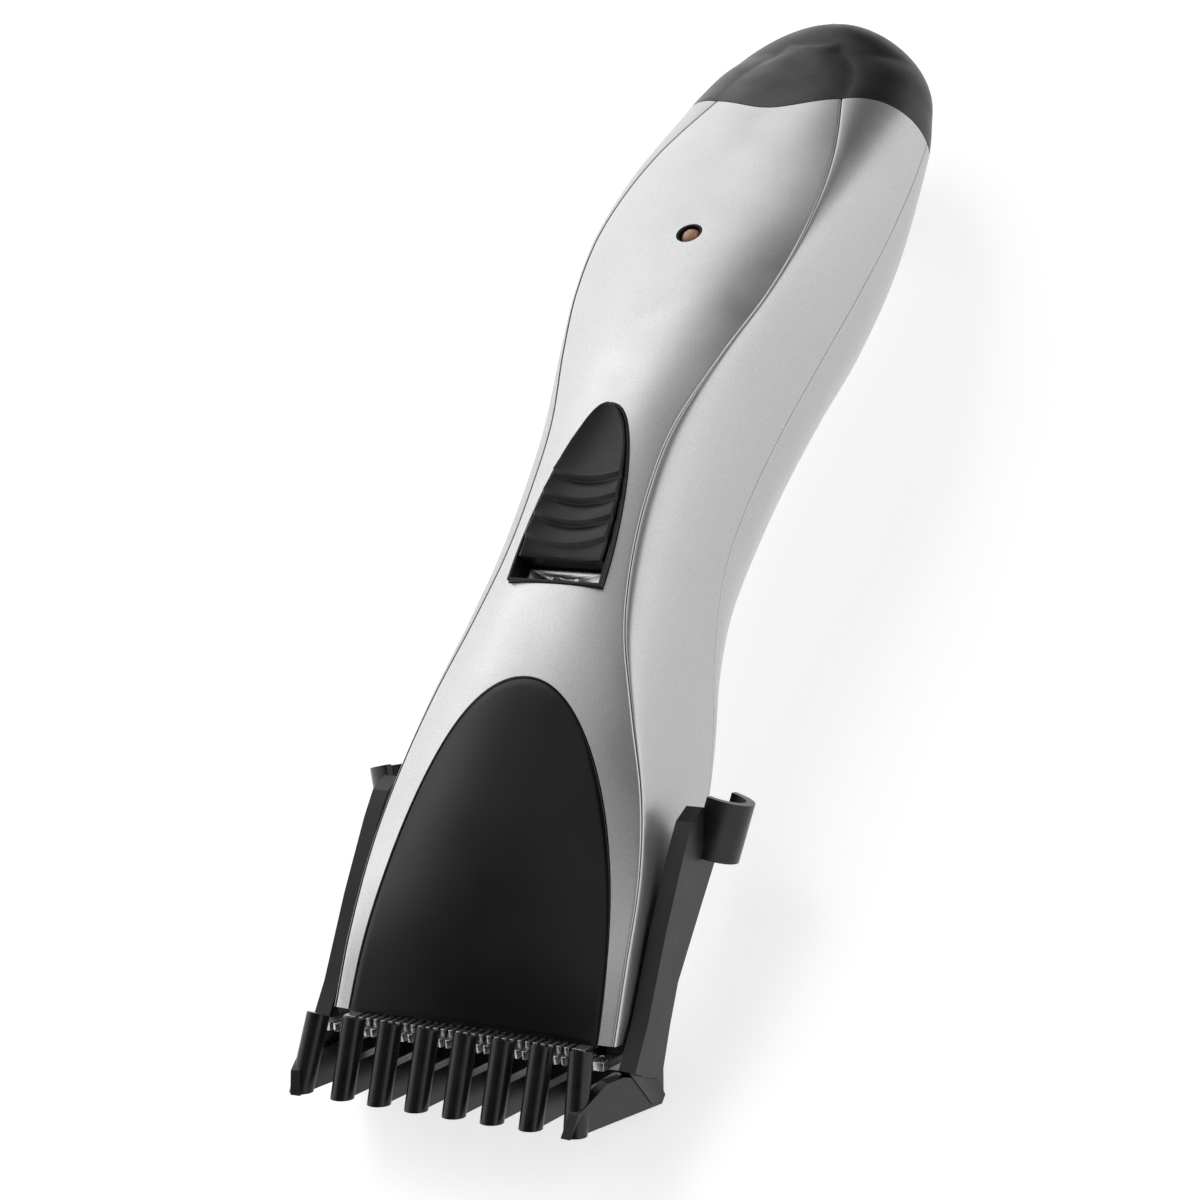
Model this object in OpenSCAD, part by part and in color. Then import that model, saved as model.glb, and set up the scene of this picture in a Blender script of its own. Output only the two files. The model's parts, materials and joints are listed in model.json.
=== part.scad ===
// Cordless hair clipper lying on its back, with a slide-on guide comb over its blades.
// +Y runs from the comb to the tail, +Z is out of the front face, and z = 0 is the table.
// Sections are measured from the comb end, then the whole is moved so that y = 0 is mid-length.

/* [Handle] */
// Widest width of the handle
handle_w = 40.8; // [40:0.2:50]
// Length of the body from its nose to the end of the tail cap
body_l = 169.4; // [165:0.2:204]
// Thickness of the housing walls
wall = 1.8; // [1.4:0.1:2.2]
// Thickness of the front cover
cover_t = 1.6; // [1.2:0.1:2]
// Length of the tail cap
cap_l = 25.4; // [24:0.2:27]

/* [Nose panel] */
// Width of the arched panel at its lower edge
panel_w = 36; // [30:1:37]
// Height of the arch
panel_l = 41; // [30:1:46]

/* [Switch] */
// Width of the slide knob
knob_w = 12.2; // [10:0.2:14]
// Length of the slide knob
knob_l = 23.6; // [19:0.2:28.4]
// Travel of the slide knob
knob_travel = 3; // [2:0.5:4]

/* [Blades] */
// Pitch of the blade teeth
blade_pitch = 1.1; // [0.9:0.1:1.6]
// Throw of the eccentric, which is half of the moving blade's stroke
throw = 0.8; // [0.5:0.1:1]

/* [Guide comb] */
// Number of comb teeth
tooth_count = 8; // [5:1:9]
// Width of each comb tooth
tooth_w = 3; // [2:0.1:3.6]

/* [Drive and power] */
// Width across the round sides of the motor
motor_w = 20.4; // [17:0.2:20.8]
// Height across the flats of the motor
motor_h = 15.4; // [12:0.2:15.6]
// Length of the motor can
motor_l = 30; // [26:1:31]
// Diameter of each battery cell
cell_d = 10.5; // [8.8:0.1:11.5]
// Length of each battery cell
cell_l = 44.5; // [40:0.5:45]

/* [Hidden] */
$fn = 48;
gap = 0.1;                       // clearance between fixed pieces
nose = [0, 11, 12.8];            // lower edge of the front face
neck_y = 60;                     // the handle stretches only beyond the neck
tail_y = nose.y + body_l;
cap_y = tail_y - cap_l;
wide = handle_w / 40.8;          // stretch of every width
comb_front = -2.1;
mid_y = (comb_front + tail_y) / 2;
skid_angle = 43.5;               // skid and blades, measured from upright
head_tilt = 12;                  // direction of the comb's slide and the motor
deck_t = 1.4;                    // shelf of the housing under the cover
deck_drop = cover_t + gap;
crown_power = 2.4;               // how late the crown of the front turns down to the crease
cap_crease = 1.4;                // depth of the crease where it enters the tail cap
lobe_least = 0.02;               // keeps the lobe's crown open past its end, so no facets close up
boss_r = 2.8;
boss_split = 16.1;               // height where the two screw bosses meet
lamp_hole_r = 1.9;
lens_r = 1.5;
led_y = stretch(124);
switch_y = 79;
switch_z = 35.5;
switch_tilt = 7.5;
knob_low = -10.7;                // knob's lower edge in its rest position, from switch_y
board_z = 24.6;
board_t = 1.2;
board_from = 71;
board_to = stretch(131);
cell_z = 16.6;
cell_from = stretch(107);
boss_y = stretch(101.3);
head_w = 20.9 * wide;            // half width of the head
motor_at = 19;                   // motor face, measured along its axis from the drive point
motor_r = motor_w / 2;
terminal_x = motor_r - 4.7;
motor_screw_x = 6.4;
pin_r = 1;
tab_x = cell_d / 2 + gap;        // middle of each cell and of its tab
charge_z = 18.8;
charge_r = 2.8;

// y, front height, crease x, crease z, half width, seam z, back z
stations = [
    [11, 12.8, 20.2, 12.4, 20.9, 8.5, 2.6],
    [20, 17.0, 20.1, 16.3, 20.8, 8.0, 2.4],
    [30, 21.7, 19.6, 19.8, 20.3, 6.5, 2.2],
    [40, 26.3, 17.8, 23.4, 18.9, 5.5, 2.0],
    [50, 30.3, 14.6, 27.6, 17.3, 6.0, 1.7],
    [60, 32.8, 11.2, 30.9, 15.8, 8.5, 1.5],
    [70, 34.3, 9.3, 32.8, 14.4, 13.5, 1.4],
    [80, 35.8, 8.7, 34.4, 13.6, 17.0, 1.4],
    [90, 36.9, 9.2, 35.4, 13.8, 18.2, 1.2],
    [102, 37.3, 12.0, 35.6, 14.9, 18.6, 1.3],
    [114, 37.0, 14.8, 34.7, 16.9, 19.0, 1.1],
    [126, 36.0, 15.8, 33.6, 19.0, 19.2, 0],
    [140, 33.6, 14.3, 31.4, 20.0, 18.2, 1.1],
    [155, 29.7, 10.0, 28.3, 19.4, 16.8, 7.0],
    [165, 27.6, 6.4, 26.2, 17.9, 17.0, 10.2],
    [182, 25.2, 2.0, 24.8, 15.2, 17.6, 12.6]];

function stretch(y) = y < neck_y ? y : neck_y + (y - neck_y) * (cap_y - neck_y) / 95;
function sized(s) = [stretch(s[0]), s[1], s[2] * wide, s[3], s[4] * wide, s[5], s[6]];
rows = [for (s = stations) sized(s)];
last_row = len(rows) - 1;

// The row of sizes at any y, as a smooth curve through the stations.
function seek(y, i = 0) = (i >= last_row - 1 || y < rows[i + 1][0]) ? i : seek(y, i + 1);
function slope(i) =
    let (a = max(i - 1, 0), b = min(i + 1, last_row))
    (rows[b] - rows[a]) / (rows[b][0] - rows[a][0]);
function row_at(y) =
    let (i = seek(y), h = rows[i + 1][0] - rows[i][0], t = (y - rows[i][0]) / h)
    (1 - 3 * t ^ 2 + 2 * t ^ 3) * rows[i] + (t - 2 * t ^ 2 + t ^ 3) * h * slope(i)
    + (3 * t ^ 2 - 2 * t ^ 3) * rows[i + 1] + (t ^ 3 - t ^ 2) * h * slope(i + 1);
function front_z(y) = row_at(y)[1];

// Half curves of a section, from the middle outwards, as [x, z].
function tongue(r, inset, narrower, n) =
    [for (i = [0 : n]) let (x = (r[2] - narrower) * i / n)
        [x, r[1] - inset - (r[1] - r[3]) * (x / r[2]) ^ crown_power]];
function bezier(a, b, c, d, t) =
    (1 - t) ^ 3 * a + 3 * (1 - t) ^ 2 * t * b + 3 * (1 - t) * t ^ 2 * c + t ^ 3 * d;
function roll(a, d, n) =
    let (b = [a.x + 0.55 * (d.x - a.x), a.y - 0.06 * (d.x - a.x)],
         c = [d.x, d.y + 0.55 * (a.y - d.y)])
    [for (i = [0 : n]) bezier(a, b, c, d, i / n)];
function shoulder(r, n) = roll([r[2], r[3]], [r[4], r[5] + gap / 2], n);
function inner_shoulder(r, n) =
    let (reach = r[4] - wall, start = min(r[2] - 0.4, reach - 0.5))
    roll([start, r[3] - deck_drop - deck_t], [reach, r[5] + gap / 2], n);
function belly(r, inset, n) =
    [for (i = [0 : n]) let (a = 90 * i / n)
        [(r[4] - inset) * sin(a) ^ 0.9,
         r[5] - gap / 2 - (r[5] - r[6] - inset) * cos(a) ^ 0.9]];

// A half curve mirrored into a whole one, from -x to +x.
function whole(half) =
    concat([for (i = [len(half) - 1 : -1 : 1]) [-half[i].x, half[i].y]], half);
function back_to_front(list) = [for (i = [len(list) - 1 : -1 : 0]) list[i]];
// Section planes lean at the head, so that the nose ends in the blade plane.
function lean(y) =
    y >= 50 ? 0 : tan(skid_angle) * ((50 - y) / (50 - nose.y)) ^ 1.5;
// Towards the tail the sections bow, so that the cap's joint is a shallow arc.
function bow(y, x) =
    let (t = (y - neck_y) / (cap_y - neck_y), u = (tail_y - y) / cap_l)
    7 * (t < 0 ? 0 : t < 1 ? t ^ 3 : u) * x ^ 2 / (x ^ 2 + 140);
function ring(y, outline) =
    [for (p = outline) [p.x, y - mid_y + lean(y) * (front_z(y) - p.y) + bow(y, p.x), p.y]];

// A closed solid through rings of equal point count. The end faces are strips from each
// point to its opposite, so a ring may be round or the section of a curved wall.
module skin(rings) {
    n = len(rings[0]);
    last = (len(rings) - 1) * n;
    points = [for (r = rings) each r];
    sides = [for (j = [0 : len(rings) - 2], i = [0 : n - 1])
        let (a = j * n + i, b = j * n + (i + 1) % n)
        each [[a, a + n, b], [a + n, b + n, b]]];
    ends = [for (i = [0 : n / 2 - 2])
        let (a = i, b = i + 1, c = n - 2 - i, d = n - 1 - i)
        each [[a, b, d], [b, c, d], [last + a, last + d, last + b], [last + b, last + d, last + c]]];
    polyhedron(points, concat(sides, ends));
}

// Evenly spaced section places between two lengths.
function places(from, to, step) =
    let (n = ceil((to - from) / step)) [for (i = [0 : n]) from + (to - from) * i / n];

module seated() { translate([0, -mid_y, 0]) children(); }
module at_blade() { seated() translate(nose) rotate([90 + skid_angle, 0, 0]) children(); }
module at_motor() {
    seated() translate([0, 18.7, 9.1]) rotate([head_tilt, 0, 0]) children();
}
module at_switch() {
    seated() translate([0, switch_y, switch_z]) rotate([switch_tilt, 0, 0]) children();
}
// A side outline in y and z, extruded from x = a to x = b.
module slab(a, b, outline) {
    translate([a, 0, 0]) rotate([90, 0, 90]) linear_extrude(b - a) polygon(outline);
}
module box(from, to) { translate(from) cube(to - from); }
// A cylinder along +Y.
module rod(r, from, to) { translate([0, from, 0]) rotate([-90, 0, 0]) cylinder(r = r, h = to - from); }
function half_ellipse(w, l, n) = [for (i = [0 : n]) [w * cos(180 * i / n), l * sin(180 * i / n)]];

// ---- Casing ----

module panel_outline(grow) {
    translate([0, nose.y - mid_y - 3])
        polygon(concat([for (p = half_ellipse(panel_w / 2 * wide + grow, panel_l + grow, 30))
            p + [0, 3]], [[-panel_w / 2 * wide - grow, 0], [panel_w / 2 * wide + grow, 0]]));
}
module switch_outline(w, l, low) {
    translate([0, low]) polygon(half_ellipse(w / 2, l, 28));
}
// Inside edge of the bezel, which leaves room for the knob's travel, grown evenly.
module bezel_outline(grow) {
    switch_outline(knob_w + 0.8 + 2 * grow, knob_l + knob_travel + 0.3 + 2 * grow,
        knob_low - knob_travel - 0.1 - grow);
}
module switch_window(grow) {
    at_switch() translate([0, 0, -8]) linear_extrude(12) bezel_outline(0.4 + grow);
}

module front_cover() {
    color([0.78, 0.78, 0.79]) difference() {
        skin([for (y = places(nose.y, cap_y - gap, 4.5)) let (r = row_at(y)) ring(y,
            concat(whole(tongue(r, 0, gap, 7)),
                back_to_front(whole(tongue(r, cover_t, gap, 7)))))]);
        translate([0, 0, -1]) linear_extrude(40) panel_outline(gap);
        switch_window(gap);
        translate([0, led_y - mid_y, 20]) cylinder(r = lamp_hole_r, h = 30);
    }
}

module nose_panel() {
    color([0.03, 0.03, 0.035]) intersection() {
        skin([for (y = places(nose.y, nose.y + panel_l + 2, 4.5)) let (r = row_at(y)) ring(y,
            concat(whole(tongue(r, 0.1, 1, 7)),
                back_to_front(whole(tongue(r, cover_t, 1, 7)))))]);
        translate([0, 0, -1]) linear_extrude(40) panel_outline(0);
    }
}

module front_housing() {
    color([0.76, 0.76, 0.77]) difference() {
        union() {
            skin([for (y = places(nose.y, cap_y - gap, 4.5)) let (r = row_at(y)) ring(y,
                concat(
                    whole(concat(tongue(r, deck_drop, 0, 4), shoulder(r, 6))),
                    back_to_front(whole(concat(
                        tongue(r, deck_drop + deck_t, min(2, r[2] / 5), 4),
                        inner_shoulder(r, 6))))))]);
            translate([0, boss_y - mid_y, boss_split + gap])
                cylinder(r = boss_r, h = front_z(boss_y) - deck_drop - deck_t / 2 - boss_split - gap);
        }
        switch_window(gap);
        translate([0, led_y - mid_y, 20]) cylinder(r = lamp_hole_r, h = 30);
        translate([0, boss_y - mid_y, 15]) cylinder(r = 0.9, h = 12);
    }
}

module rear_housing() {
    color([0.7, 0.7, 0.71]) difference() {
        union() {
            skin([for (y = places(nose.y, cap_y - gap, 4.5)) let (r = row_at(y)) ring(y,
                concat(back_to_front(whole(belly(r, 0, 10))), whole(belly(r, wall, 10))))]);
            translate([0, boss_y - mid_y, 1.9]) cylinder(r = boss_r, h = boss_split - gap - 1.9);
        }
        translate([0, boss_y - mid_y, -2]) cylinder(r = 2.1, h = 11);
        translate([0, boss_y - mid_y, 0]) cylinder(r = 1.25, h = 20);
    }
}

// Cap sections keep the body's form, then close in a blunt dome. A raised lobe with a round end
// carries on the front cover.
function lobe(y) = let (t = (y - cap_y) / (cap_l - 8)) t < 1 ? sqrt(1 - t ^ 2) : 0;
function closing(y, inset, power) =
    let (t = (y - tail_y + 17) / (18.3 - inset)) t < 0 ? 1 : sqrt(1 - min(t, 1) ^ power);
function cap_ring(y, inset, over = 0) =
    let (r = row_at(y), mid = charge_z, rise = r[1] - mid, drop = mid - r[6],
         cx = max(r[2] * 0.25, rows[len(rows) - 3][2] * lobe(y)), cz = r[1] - cap_crease,
         top = cz + cap_crease * max(lobe(y), lobe_least) ^ 0.6,
         half = concat(
             [for (i = [0 : 3]) [i / 4 * cx, top - (top - cz) * (i / 4) ^ crown_power]],
             roll([cx, cz], [r[4], r[5]], 8),
             [for (i = [1 : 9]) [r[4] * cos(10 * i) ^ 0.9, r[5] - (r[5] - r[6]) * sin(10 * i) ^ 0.9]]),
         fit = [(r[4] - inset) / r[4] * closing(y, inset, 2.2),
             (rise - inset - over) / rise * closing(y, inset, 6),
             (drop - inset) / drop * closing(y, inset, 6)],
         all = concat(half, [for (i = [len(half) - 2 : -1 : 1]) [-half[i].x, half[i].y]]))
    [for (p = all) let (x = p.x * fit.x)
        [x, y - mid_y + bow(y, x), mid + (p.y - mid) * (p.y > mid ? fit.y : fit.z)]];

module tail_cap() {
    depth = cap_l - 1.67;
    inner = [for (i = [8 : -1 : 0]) cap_ring(cap_y + 2 + (depth - 2) * sin(90 * i / 8), wall)];
    lip = [for (e = [[1, 3.3], [-3, 3.3], [-3, 2.5], [0, 2.5]])
        [for (p = cap_ring(cap_y, e[1], deck_t)) [p.x, p.y + e[0], p.z]]];
    outer = [for (i = [0 : 10]) cap_ring(cap_y + cap_l * sin(9 * i), 0)];
    color([0.03, 0.03, 0.035]) difference() {
        union() {
            skin(concat(inner, lip, outer));
            translate([0, -mid_y, charge_z]) rod(charge_r + 1, tail_y - 5, tail_y - 0.5);
        }
        translate([0, -mid_y, charge_z]) rod(charge_r, tail_y - 8, tail_y + 1);
    }
}

// ---- Switch, lamp and board ----

module switch_bezel() {
    color([0.05, 0.05, 0.055]) at_switch() difference() {
        translate([0, 0, -3.4]) linear_extrude(3.6) bezel_outline(0.4);
        translate([0, 0, -2.6]) linear_extrude(4) bezel_outline(0);
        box([-1.8, -8, -4], [1.8, 8, 0]);
        box([-5.7, knob_low - 3, -4], [5.7, knob_low - 0.2, -2]);
    }
}

module switch_label() {
    color([0.72, 0.72, 0.74]) at_switch() box([-5.6, knob_low - 2.9, -3.3], [5.6, knob_low - 0.3, -2.6]);
}

module switch_knob() {
    color([0.06, 0.06, 0.065]) at_switch() {
        difference() {
            intersection() {
                translate([0, 0, -2.4]) linear_extrude(4.6) switch_outline(knob_w, knob_l, knob_low);
                translate([0, 0, -24.4]) rod(25.6, -14, 16);
            }
            // hollow of the thumb rest and the grooves between the ridges
            translate([0, 3.2, 22.2]) rotate([0, 90, 0]) cylinder(r = 21.6, h = 20, center = true, $fn = 96);
            for (i = [0 : 3]) translate([0, -9.6 + 3.3 * i, 1.15]) rotate([0, 90, 0])
                cylinder(r = 0.55, h = 20, center = true);
        }
        box([-1.5, -3.6, -5.6], [1.5, 3.6, -2.3]);
    }
}

module switch_actuator() {
    color([0.85, 0.85, 0.83]) at_switch() box([-1, -2.6, -7.6], [1, 1.4, -5.65]);
}

module slide_switch() {
    foot = board_z + board_t;
    color([0.6, 0.6, 0.62]) seated() translate([0, switch_y, foot]) difference() {
        box([-3.6, -8, 0], [3.6, 6, 2.8]);
        box([-1.2, -6.2, 1], [1.2, 3, 4]);
    }
}

module led_holder() {
    color([0.05, 0.05, 0.05]) translate([0, led_y - mid_y, front_z(led_y) - 4]) difference() {
        cylinder(r = lamp_hole_r - gap, h = 3.9);
        translate([0, 0, -1]) cylinder(r = lens_r + gap / 2, h = 6);
    }
}

module led() {
    base = board_z + board_t + gap;
    color([0.9, 0.42, 0.12]) translate([0, led_y - mid_y, 0]) {
        difference() {
            translate([0, 0, base + 4]) cylinder(r = lens_r, h = front_z(led_y) - 1.4 - base - 4);
            box([-4, -4, 0], [4, 4, base]);
        }
        translate([0, 0, front_z(led_y) - 1.4]) sphere(r = lens_r);
        for (x = [-0.8, 0.8]) box([x - 0.25, -0.25, base], [x + 0.25, 0.25, base + 4.1]);
    }
}

module circuit_board() {
    color([0.1, 0.3, 0.16]) seated() difference() {
        box([-8, board_from, board_z], [8, board_to, board_z + board_t]);
        translate([0, boss_y, board_z - 1]) cylinder(r = 3.2, h = 4);
    }
}

module board_components() {
    top = board_z + board_t;
    color([0.15, 0.15, 0.16]) seated() {
        translate([0, boss_y + 8, top]) cylinder(r = 2.5, h = 4.6);
        for (x = [-4.5, 4.5]) translate([x, boss_y - 8, top + 1]) rod(1, 0, 4.5);
        box([-6, boss_y + 5, top], [-3.4, boss_y + 11, top + 1.6]);
        box([3.6, boss_y + 4.5, top], [6.4, boss_y + 9.5, top + 1.2]);
    }
}

// ---- Power ----

module battery_cells() {
    r = cell_d / 2;
    color([0.12, 0.3, 0.55]) seated() for (s = [-1, 1]) translate([s * tab_x, 0, cell_z]) {
        rod(r, cell_from, cell_from + cell_l - 0.8);
        rod(2.6, cell_from + cell_l - 0.9, cell_from + cell_l);
    }
}

module battery_tabs() {
    color([0.75, 0.74, 0.7]) seated() {
        box([-7, cell_from - 0.3, cell_z - 2], [7, cell_from, cell_z + 2]);
        for (x = [-tab_x, tab_x])
            box([x - 2, cell_from + cell_l, cell_z - 2], [x + 2, cell_from + cell_l + 0.3, 24]);
    }
}

module charge_socket() {
    color([0.08, 0.08, 0.09]) seated() translate([0, 0, charge_z]) difference() {
        box([-4.2, tail_y - 16, -3.9], [4.2, tail_y - 5.1, 3.9]);
        rod(charge_r + 0.2, tail_y - 14.6, tail_y);
    }
}

module charge_pin() {
    color([0.75, 0.72, 0.62]) seated() translate([0, 0, charge_z]) rod(0.95, tail_y - 14.6, tail_y - 7);
}

// A wire through a few points, each further along y than the one before.
module wire(points, r = 0.6) {
    skin([for (p = points) [for (i = [0 : 9]) p + r * [cos(36 * i), 0, -sin(36 * i)]]]);
}

module wires(side) {
    over = board_z - 0.8;
    cell_end = cell_from + cell_l;
    high = board_z + 0.6;
    outer = side * (tab_x + 0.05);   // wire on the cell's tab
    inner = side * (tab_x - 3.35);   // wire that passes beside the tab
    seated() {
        wire([[side * 4, 71.2, 22.6], [side * 4, 72.4, over], [side * 4, 75, over]]);
        wire([[outer, board_to + 0.1, high], [outer, board_to + 6, 23.4],
            [outer, cell_end - 0.1, 23.4]]);
        wire([[inner, board_to + 0.1, high], [inner, board_to + 6, 23.4],
            [inner, cell_end, 23.4], [side * 2.6, tail_y - 16.1, charge_z + 2]]);
    }
}
module red_wires() { color([0.7, 0.08, 0.06]) wires(1); }
module black_wires() { color([0.05, 0.05, 0.05]) wires(-1); }

// ---- Chassis and motor ----

module chassis() {
    color([0.86, 0.86, 0.84]) {
        at_motor() difference() {
            union() {
                box([-12, motor_at - 2.2, -6.5], [12, motor_at - 0.1, 6.5]);
                for (s = [-1, 1]) box([s * 11 - 0.7, motor_at - 2.2, -3.5],
                    [s * 11 + 0.7, motor_at + motor_l + 6, 1.2]);
            }
            rod(3.1, motor_at - 3, motor_at);
            for (s = [-1, 1]) translate([s * motor_screw_x, 0, 0]) rod(1.15, motor_at - 3, motor_at);
        }
        seated() {
            box([-10.8, 71.6, 11], [10.8, 73, 21]);
            for (s = [-1, 1]) box([s * 4.4 - 0.8, 72, 8.6], [s * 4.4 + 0.8, cell_from - 1, 11.2]);
            box([-8, cell_from - 2.6, 8.6], [8, cell_from - 0.5, cell_z]);
            box([-6, 77, 9], [6, 79, board_z - gap]);
            box([-6, boss_y - 7, 9], [6, boss_y - 5, board_z - gap]);
            difference() {
                for (y = [cell_from + 6, cell_from + cell_l - 9])
                    box([-10.4, y, 8.8], [10.4, y + 3, cell_z - 0.5]);
                for (s = [-1, 1]) translate([s * tab_x, 0, cell_z])
                    rod(cell_d / 2 + gap, cell_from, cell_from + cell_l);
            }
            box([-1.6, cell_from - 2.6, 8.6], [1.6, cell_from + cell_l - 6, 11.4]);
        }
    }
}

module motor_profile(inset) {
    intersection() {
        circle(r = motor_r - inset);
        square([2 * motor_r, motor_h - 2 * inset], center = true);
    }
}
module motor_tube(from, to, inset) {
    translate([0, to, 0]) rotate([90, 0, 0]) linear_extrude(to - from) motor_profile(inset);
}

module motor_can() {
    color([0.62, 0.63, 0.65]) at_motor() difference() {
        union() {
            motor_tube(motor_at, motor_at + motor_l, 0);
            rod(3, motor_at - 1.6, motor_at + 0.2);
        }
        motor_tube(motor_at + 1, motor_at + motor_l + 1, 0.8);
        rod(1.05, motor_at - 2, motor_at + 2);
        for (s = [-1, 1]) translate([s * motor_screw_x, 0, 0]) rod(0.95, motor_at - 1, motor_at + 2);
    }
}

module motor_magnets() {
    color([0.2, 0.2, 0.21]) at_motor() difference() {
        motor_tube(motor_at + 4, motor_at + motor_l - 7, 0.9);
        rod(7.4, motor_at + 3, motor_at + motor_l);
        box([-3.2, motor_at, -9], [3.2, motor_at + motor_l, 9]);
    }
}

module motor_end_cap() {
    end = motor_at + motor_l;
    color([0.9, 0.9, 0.87]) at_motor() difference() {
        union() {
            motor_tube(end - 2, end, 0.85);
            rod(3.4, end - 0.5, end + 2);
        }
        rod(1.05, end - 3, end + 1.2);
        for (s = [-1, 1]) box([s * terminal_x - 1.2, end - 3, 3.6], [s * terminal_x + 1.2, end + 1, 4.6]);
    }
}

module motor_terminals() {
    end = motor_at + motor_l;
    color([0.8, 0.6, 0.3]) at_motor() for (s = [-1, 1])
        box([s * terminal_x - 1.1, end - 3.4, 3.7], [s * terminal_x + 1.1, end + 2.6, 4.5]);
}

module motor_shaft() {
    color([0.8, 0.8, 0.82]) at_motor() rod(1, motor_at - 6.3, motor_at + motor_l + 1);
}

module motor_armature() {
    mid = motor_at + 4;
    color([0.7, 0.4, 0.2]) at_motor() difference() {
        union() {
            for (i = [0 : 2]) rotate([0, 120 * i, 0]) {
                box([-1.6, mid + 2, 0], [1.6, mid + 15, 6]);
                intersection() {
                    rod(6.9, mid + 2, mid + 15);
                    box([-4.6, mid + 2, 5.2], [4.6, mid + 15, 7]);
                }
            }
            rod(2.4, mid + 1, mid + 18);
        }
        rod(1, mid, mid + 20);
    }
}

module motor_commutator() {
    end = motor_at + motor_l;
    color([0.8, 0.45, 0.2]) at_motor() difference() {
        rod(2.3, end - 7.4, end - 3.6);
        rod(1, end - 8, end - 3);
    }
}

module motor_screws() {
    color([0.7, 0.7, 0.72]) at_motor() for (s = [-1, 1]) translate([s * motor_screw_x, 0, 0]) {
        rod(0.9, motor_at - 2.4, motor_at + 0.9);
        rod(1.9, motor_at - 3.6, motor_at - 2.3);
    }
}

// The cam turns with the shaft, and its pin works in the slot of the drive carrier.
module eccentric_cam() {
    color([0.88, 0.88, 0.85]) at_motor() difference() {
        union() {
            rod(3.6, motor_at - 7, motor_at - 3);
            rod(3.2, motor_at - 3.1, motor_at - 2.4);
            translate([0, 0, throw]) rod(pin_r, 3.4, motor_at - 6.8);
        }
        rod(1, motor_at - 6.4, motor_at);
    }
}

// ---- Blades ----

blade_w = 2 * (head_w - 0.5);
cutter_w = blade_w - 6;
blade_top = 2.3;
screw_x = 7.6;
screw_y = -10;

module toothed_plate(w, low, high, from, to, tooth_l) {
    count = floor(w / blade_pitch / 2) * 2 - 1;
    difference() {
        box([-w / 2, low, from], [w / 2, high, to]);
        for (i = [0 : count - 1]) translate([(i - (count - 1) / 2) * blade_pitch, 0, 0])
            box([-blade_pitch * 0.24, high - tooth_l, from - 1], [blade_pitch * 0.24, high + 1, to + 1]);
    }
}

module fixed_blade() {
    color([0.8, 0.8, 0.82]) at_blade() difference() {
        toothed_plate(blade_w, -13.2, 2.5, 1.25, blade_top, 3);
        for (s = [-1, 1]) translate([s * screw_x, screw_y, 0]) cylinder(r = 0.95, h = 5);
        // bevel on the outer side of the tips
        translate([0, 2.5, blade_top + 0.35]) rotate([-20, 0, 0])
            box([-30, -3, 0], [30, 3, 3]);
    }
}

module moving_blade() {
    color([0.72, 0.72, 0.74]) at_blade() difference() {
        toothed_plate(cutter_w, -8.2, 1.7, 0.2, 1.2, 2.6);
        translate([0, -6.6, -1]) cylinder(r = 1.2, h = 4);
    }
}

module drive_carrier() {
    slot = pin_r + 2 * throw + 0.2;
    color([0.9, 0.9, 0.88]) {
        at_blade() {
            box([-5.6, -7.9, -1.6], [5.6, -5.4, 0.15]);
            translate([0, -6.6, 0]) cylinder(r = 1.15, h = 1.1);
            for (s = [-1, 1]) box([s * (slot + 1) - 1, -9.4, -5.8], [s * (slot + 1) + 1, -6.3, -1.4]);
        }
        at_motor() for (s = [-1, 1])
            box([s * (slot + 1) - 1, 2, -2.4], [s * (slot + 1) + 1, 8.6, 2.4]);
    }
}

module blade_holder() {
    side = cutter_w / 2 + throw + 0.4;
    color([0.1, 0.1, 0.105]) at_blade() difference() {
        union() {
            box([-blade_w / 2, -13.4, 0.05], [blade_w / 2, -1.6, 1.2]);
            for (s = [-1, 1]) {
                box([s * 13.4 - 1.2, -9.8, -2.4], [s * 13.4 + 1.2, -5.2, 0.1]);
                box([s * 12.4 - 2.4, -9.8, -0.5], [s * 12.4 + 2.4, -8.5, 0.1]);
                translate([s * screw_x, screw_y, -2.4]) cylinder(r = 1.25, h = 2.5);
            }
        }
        box([-side, -8.4, 0], [side, 0, 2]);
        for (s = [-1, 1]) translate([s * screw_x, screw_y, -1.6]) cylinder(r = 0.85, h = 5);
    }
}

module blade_screws() {
    color([0.75, 0.75, 0.77]) at_blade() for (s = [-1, 1]) translate([s * screw_x, screw_y, 0]) {
        translate([0, 0, -1.4]) cylinder(r = 0.8, h = 3.8);
        translate([0, 0, blade_top + 0.02]) cylinder(r = 1.6, h = 0.8);
    }
}

module blade_spring() {
    color([0.75, 0.75, 0.78]) at_blade() for (s = [-1, 1])
        slab(s * 10.8 - 0.7, s * 10.8 + 0.7, [[-10, -1.6], [-9.2, -1.6], [-7.6, -0.5], [-5.4, -0.15],
            [-5.4, 0.12], [-7.8, -0.2], [-9.4, -1.3], [-10, -1.3]]);
}

// ---- Guide comb ----

skid_front = [-2.1, 13.8];
skid_back = [11, 0];
skid_off = 8.81;                 // skid plane, measured outwards from the blade plane's origin
bar_top = [7.2, 18.4];
tooth_pitch = (2 * head_w - 4) / (tooth_count - 1);
arm_in = head_w + 0.3;
arm_out = arm_in + 1.5;
fin = [skid_front, bar_top, [8.2, 16.4], [3.5, 14], [11.2, 5.9], [14, 2.9], [12.4, 0.5], skid_back];
arm = [[9, 11], [15, 12.2], [26, 15.9], [36, 18.6], [40, 19.3], [43, 18.2], [44.6, 15.6],
    [44.4, 9.6], [41, 9], [34, 8.3], [24, 7.2], [19, 5.4], [14, 3.2], [12, 1.2], [9.2, 2.7]];
flange = [[9, 11], [15, 12.2], [26, 15.9], [36, 18.6], [40, 19.3], [43, 18.2],
    [43.6, 15.6], [40, 14.4], [36, 14], [26, 12.2], [15, 9.2], [10, 8.2]];
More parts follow.
